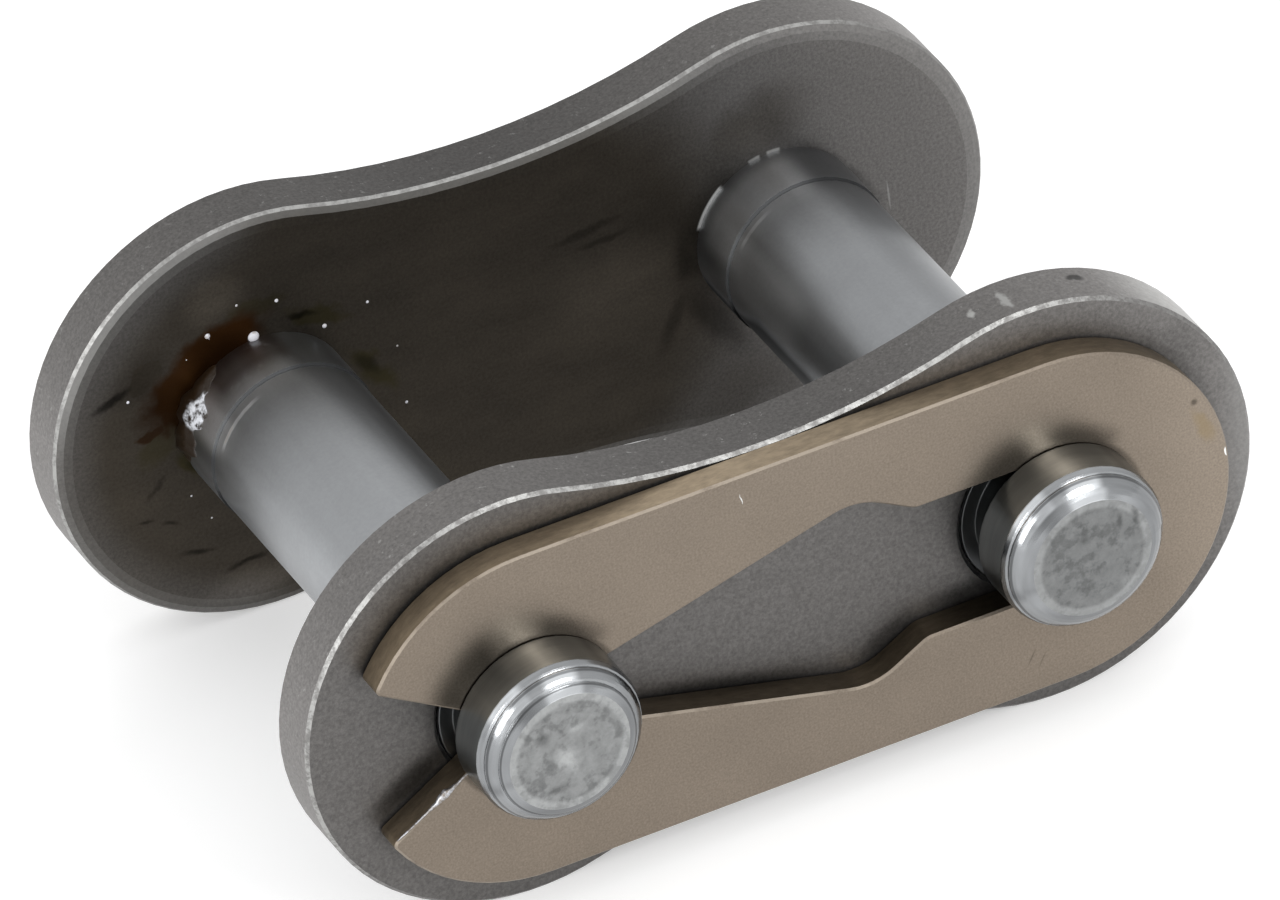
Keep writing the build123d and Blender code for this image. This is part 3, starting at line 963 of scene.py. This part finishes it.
class LINK_OT_grease(bpy.types.Operator):
    """Set drops of grease on the back plate and a wet bead round the left pin's root"""

    bl_idname = "link.grease"
    bl_label = "Add Grease"

    def execute(self, context):
        sizes = context.scene.link_grease
        self.drops(sizes)
        self.bead(sizes)
        return {"FINISHED"}

    def drops(self, sizes):
        """The placed drops, and small ones scattered at random round the left pin."""
        mesh = bpy.data.meshes.new("grease_drops")
        mesh.from_pydata([(x * MM, BACK_INSIDE * MM, z * MM) for x, z, _ in DROPS], [], [])
        radii = mesh.attributes.new(DROP_SIZE, "FLOAT", "POINT")
        for item, (_, _, radius) in zip(radii.data, DROPS):
            item.value = radius * MM
        drops = add_object("grease_drops", mesh)

        group = self.scatter()
        inputs = {
            "Patch radius": sizes.patch, "Clear radius": sizes.clear, "Density": sizes.dust,
            "Smallest": sizes.smallest, "Largest": sizes.largest, "Seed": sizes.seed,
            "Finish": self.dried(sizes),
        }
        modifier = drops.modifiers.new("drops", "NODES")
        modifier.node_group = group
        for item in group.interface.items_tree:
            if item.name in inputs:
                modifier[item.identifier] = inputs[item.name]
        ready = drops.evaluated_get(bpy.context.evaluated_depsgraph_get())
        drops.data = bpy.data.meshes.new_from_object(ready)
        drops.modifiers.clear()
        drops.data.shade_smooth()
        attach(drops, "link")

    def scatter(self):
        """The tree that puts a flattened drop on each placed point and on a ring-shaped patch."""
        group = bpy.data.node_groups.new("scattered_drops", "GeometryNodeTree")
        for name, kind in (
            ("Places", "Geometry"), ("Patch radius", "Float"), ("Clear radius", "Float"),
            ("Density", "Float"), ("Smallest", "Float"), ("Largest", "Float"),
            ("Seed", "Int"), ("Finish", "Material"),
        ):
            group.interface.new_socket(name, in_out="INPUT", socket_type="NodeSocket" + kind)
        group.interface.new_socket("Drops", in_out="OUTPUT", socket_type="NodeSocketGeometry")
        t = Tree(group)
        places, patch, clear, density, smallest, largest, seed, finish = t.outputs(
            t.node("NodeGroupInput", {}, {})
        )[:8]
        ball = t.node("GeometryNodeMeshIcoSphere", {}, {"Radius": 1.0, "Subdivisions": 3})
        drop = t.node("GeometryNodeTransform", {}, {"Geometry": ball, "Scale": (1.0, 0.6, 1.0)})

        named = {"data_type": "FLOAT"}
        radius = t.node("GeometryNodeInputNamedAttribute", named, {"Name": DROP_SIZE})
        points = t.node("GeometryNodeMeshToPoints", {}, {"Mesh": places})
        large = self.on_points(t, points, drop, radius)

        disc = {"Vertices": 48, "Radius": patch}
        disc = t.node("GeometryNodeMeshCircle", {"fill_type": "NGON"}, disc)
        middle = (LEFT_AXIS * MM, BACK_INSIDE * MM, AXIS_HEIGHT * MM)
        upright = {"Geometry": disc, "Translation": middle, "Rotation": (math.pi / 2, 0.0, 0.0)}
        disc = t.node("GeometryNodeTransform", {}, upright)
        spread = {"Mesh": disc, "Density": density, "Seed": seed}
        spread = t.node("GeometryNodeDistributePointsOnFaces", {}, spread)
        here = t.node("GeometryNodeInputPosition", {}, {})
        away = {0: here, 1: middle}
        away = t.node("ShaderNodeVectorMath", {"operation": "DISTANCE"}, away, "Value")
        kept = {"Geometry": spread, "Selection": away < clear}
        kept = t.node("GeometryNodeDeleteGeometry", {}, kept)
        # Sockets 2 and 3 are Random Value's least and greatest number, and output 1 is its number.
        chance = {2: smallest, 3: largest, "Seed": seed}
        chance = t.node("FunctionNodeRandomValue", {"data_type": "FLOAT"}, chance, 1)
        small = self.on_points(t, kept, drop, chance)

        both = t.node("GeometryNodeJoinGeometry", {}, {0: [large, small]})
        real = t.node("GeometryNodeRealizeInstances", {}, {0: both})
        done = t.node("GeometryNodeSetMaterial", {}, {"Geometry": real, "Material": finish})
        t.node("NodeGroupOutput", {}, {0: done})
        return group

    def on_points(self, t, points, drop, radius):
        """A drop on each point, with its radius."""
        placed = {"Points": points, "Instance": drop, "Scale": radius}
        return t.node("GeometryNodeInstanceOnPoints", {}, placed)

    def bead(self, sizes):
        """The wet bead in the corner between the left pin and the back plate."""
        start, end, steps = 122.0, 196.0, 64
        sunk, least_swell = -0.03, 0.04
        rings = []
        for step in range(steps + 1):
            share = step / steps
            turn = math.radians(start + (end - start) * share)
            swell = math.sin(math.pi * share) ** 0.7
            swell *= 1 + 0.22 * math.sin(17 * share + 1) + 0.12 * math.sin(41 * share)
            swell = max(swell, least_swell)
            wide, tall = sizes.bead_width / MM * swell, sizes.bead_height / MM * swell
            profile = (
                (sunk, sunk), (sunk, tall), (0.12 * wide, 0.8 * tall), (0.4 * wide, 0.4 * tall),
                (wide, sunk),
            )
            rings.append([
                (
                    LEFT_AXIS + (PIN_BASE_RADIUS + out) * math.cos(turn),
                    BACK_INSIDE - up,
                    AXIS_HEIGHT + (PIN_BASE_RADIUS + out) * math.sin(turn),
                )
                for out, up in profile
            ])
        bead = loft("grease_bead", rings)
        bead.data.materials.append(self.wet(sizes))
        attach(bead, "link")

    def wet(self, sizes):
        """Dark oil with pale grease on it in three lumps, a foot, a body and an arm, painted bright
        as glare.
        """
        f = Finish("wet_grease")
        _, turn = f.from_axis(LEFT_AXIS)
        torn = f.noise(5.5, detail=3.0, roughness=0.6, seed=2.0)
        foot = turn.band(150.0, 162.0, 4.0) * f.y.band(5.85, 6.3, 0.1)
        body = turn.band(141.0, 156.0, 4.0) * f.y.band(5.85, 6.2, 0.08)
        arm = turn.band(126.0, 145.0, 5.0) * f.y.band(6.0, 6.12, 0.06)
        # Pale patches painted on the bead as glare.
        pale = foot.most(body).most(arm) * torn.rise(0.36, 0.6)
        base = f.mix(sizes.oil, sizes.white, pale)
        return f.done(base, 0.4 + 0.15 * pale, torn, 0.02, metallic=0.0)

    def dried(self, sizes):
        """Dried grease of the drops."""
        f = Finish("dried_grease")
        lumps = f.noise(8.0, detail=2.0)
        base = f.mix(sizes.drop_dull, sizes.drop, lumps.rise(0.3, 0.55))
        return f.done(base, 0.3, lumps, 0.01, metallic=0.0)


# ---------------------------------------------------------------- studio


class LINK_OT_stage(bpy.types.Operator):
    """Build the floor, the soft lights and the camera"""

    bl_idname = "link.stage"
    bl_label = "Build Studio"

    def execute(self, context):
        sizes = context.scene.link_studio
        context.scene.view_settings.view_transform = "Standard"
        self.floor(sizes)
        self.room(context.scene, sizes)
        self.lights()
        self.camera(context.scene, sizes)
        return {"FINISHED"}

    def floor(self, sizes):
        half = sizes.floor_half
        corners = [(-half, -half, 0.0), (half, -half, 0.0), (half, half, 0.0), (-half, half, 0.0)]
        mesh = bpy.data.meshes.new("floor")
        mesh.from_pydata(corners, [], [(0, 1, 2, 3)])
        paper = bpy.data.materials.new("floor_paper")
        paper.use_nodes = True
        tree = Tree(paper.node_tree)
        matt = tree.node("ShaderNodeBsdfDiffuse", {}, {"Color": sizes.paper})
        glow = tree.node("ShaderNodeEmission", {}, {"Strength": self.seen(tree) * sizes.glow})
        both = tree.node("ShaderNodeAddShader", {}, {0: matt, 1: glow})
        tree.node("ShaderNodeOutputMaterial", {}, {"Surface": both})
        mesh.materials.append(paper)
        add_object("floor", mesh)

    def seen(self, tree):
        """1 for a ray from the camera or from a shiny or clear surface."""
        path = tree.node("ShaderNodeLightPath", {}, {})
        camera, _, _, _, _, glossy, transmission = tree.outputs(path)[:7]
        return camera.most(glossy).most(transmission)

    def room(self, scene, sizes):
        world = bpy.data.worlds.new("studio")
        scene.world = world
        world.use_nodes = True
        tree = Tree(world.node_tree)
        strength = sizes.room + self.seen(tree) * (1.0 - sizes.room)
        white = (1.0, 1.0, 1.0)
        back = tree.node("ShaderNodeBackground", {}, {"Color": white, "Strength": strength})
        tree.node("ShaderNodeOutputWorld", {}, {"Surface": back})

    def lights(self):
        for name, toward, away, wide, tall, power in (
            ("left_softbox", (-0.78, -0.48, 0.36), 0.4, 0.1, 0.2, 0.45),
            ("front_softbox", (0.28, -0.75, 0.62), 0.4, 0.12, 0.12, 0.45),
        ):
            data = bpy.data.lights.new(name, "AREA")
            data.shape = "RECTANGLE"
            data.size, data.size_y, data.energy = wide, tall, power
            lamp = add_object(name, data)
            direction = Vector(toward).normalized()
            lamp.location = direction * away + Vector((0.0, 0.0, AXIS_HEIGHT * MM))
            lamp.rotation_mode = "QUATERNION"
            lamp.rotation_quaternion = direction.to_track_quat("Z", "Y")

    def camera(self, scene, sizes):
        turn, rise = sizes.azimuth, sizes.elevation
        back = Vector(
            (math.sin(turn) * math.cos(rise), -math.cos(turn) * math.cos(rise), math.sin(rise))
        )
        right = Vector((math.cos(turn), math.sin(turn), 0.0))
        upright = Matrix((right, back.cross(right), back)).transposed()
        tilted = upright @ Matrix.Rotation(sizes.roll, 3, "Z")
        lens = bpy.data.cameras.new("camera")
        lens.sensor_width = 36.0
        lens.lens = sizes.lens
        camera = add_object("camera", lens)
        stand = Vector(sizes.aim) + back * sizes.distance
        camera.matrix_world = Matrix.Translation(stand) @ tilted.to_4x4()
        scene.camera = camera


class LINK_PT_panel(bpy.types.Panel):
    """Lists the link's sizes, colours and build steps"""

    bl_idname = "LINK_PT_panel"
    bl_label = "Connecting Link"
    bl_space_type = "VIEW_3D"
    bl_region_type = "UI"
    bl_category = "Link"

    def draw(self, context):
        for group, operators in STEPS:
            box = self.layout.box()
            sizes = getattr(context.scene, group)
            for name in type(sizes).__annotations__:
                box.prop(sizes, name)
            for operator in operators:
                box.operator(operator)


STEPS = (
    ("link_plates", ("link.plates",)),
    ("link_pins", ("link.pins",)),
    ("link_clip", ("link.clip",)),
    ("link_burr", ("link.burr",)),
    ("link_grease", ("link.grease",)),
    ("link_studio", ("link.stage",)),
)
GROUPS = {
    "link_plates": LinkPlates,
    "link_pins": LinkPins,
    "link_clip": LinkClip,
    "link_burr": LinkBurr,
    "link_grease": LinkGrease,
    "link_studio": LinkStudio,
}
CLASSES = (
    *GROUPS.values(), LINK_OT_plates, LINK_OT_pins, LINK_OT_clip, LINK_OT_burr, LINK_OT_grease,
    LINK_OT_stage, LINK_PT_panel,
)


def register():
    for made in CLASSES:
        bpy.utils.register_class(made)
    for name, group in GROUPS.items():
        setattr(bpy.types.Scene, name, bpy.props.PointerProperty(type=group))


def unregister():
    for name in GROUPS:
        delattr(bpy.types.Scene, name)
    for made in reversed(CLASSES):
        bpy.utils.unregister_class(made)


def main():
    register()
    bpy.ops.link.stage()
    bpy.ops.link.plates()
    bpy.ops.link.pins()
    bpy.ops.link.clip()
    bpy.ops.link.burr()
    bpy.ops.link.grease()


if __name__ == "__main__":
    main()
